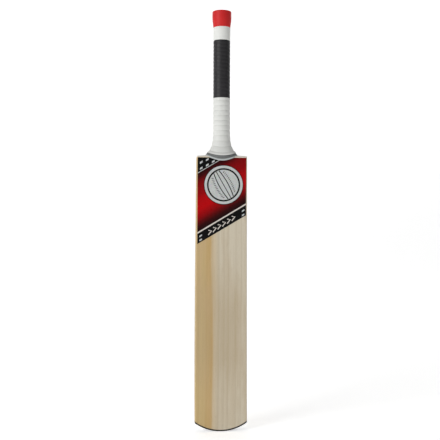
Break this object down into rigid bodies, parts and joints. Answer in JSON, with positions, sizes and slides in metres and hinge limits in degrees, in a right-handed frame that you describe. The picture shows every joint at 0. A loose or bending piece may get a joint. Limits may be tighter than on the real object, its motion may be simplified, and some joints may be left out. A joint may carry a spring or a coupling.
{
  "type": "cricket bat",
  "caption": "Cricket bat with a flat bowed hitting face, a swelling spine, a spliced cane handle under a ribbed rubber grip, a toe guard and printed labels.",
  "frame": {"origin": "bottom centre of the bat's bounding box, level with the lowest point of the toe", "axes": "+Z runs from the toe to the end of the handle, -Y is the way the flat hitting face looks and +Y the spine, +X is to the right when the hitting face is seen from the front"},
  "size_m": [0.107, 0.0723, 0.859],
  "materials": {
    "willow": "satin, straight grained",
    "cane": "bare, fine grained",
    "spring_rubber": "matt",
    "twine": "waxed thread",
    "binding_grey": "tight woven binding",
    "ring_grey": "matt",
    "grip_red": "satin",
    "grip_white": "satin, ribbed",
    "grip_black": "satin, ribbed",
    "toe_rubber": "matt",
    "label_print": "printed film"
  },
  "bodies": {
    "root": {"back_label": "label_print", "base_ring": "ring_grey", "blade": "willow", "cane_back_left": "cane", "cane_back_middle": "cane", "cane_back_right": "cane", "cane_front_left": "cane", "cane_front_middle": "cane", "cane_front_right": "cane", "cane_inner_back_left": "cane", "cane_inner_back_middle": "cane", "cane_inner_back_right": "cane", "cane_inner_front_left": "cane", "cane_inner_front_middle": "cane", "cane_inner_front_right": "cane", "front_label": "label_print", "grip_black_middle": "grip_black", "grip_red_end": "grip_red", "grip_white_lower": "grip_white", "grip_white_upper": "grip_white", "rubber_spring_back": "spring_rubber", "rubber_spring_centre": "spring_rubber", "rubber_spring_front": "spring_rubber", "shoulder_binding": "binding_grey", "toe_guard": "toe_rubber", "twine_binding": "twine"}
  },
  "joints": []
}
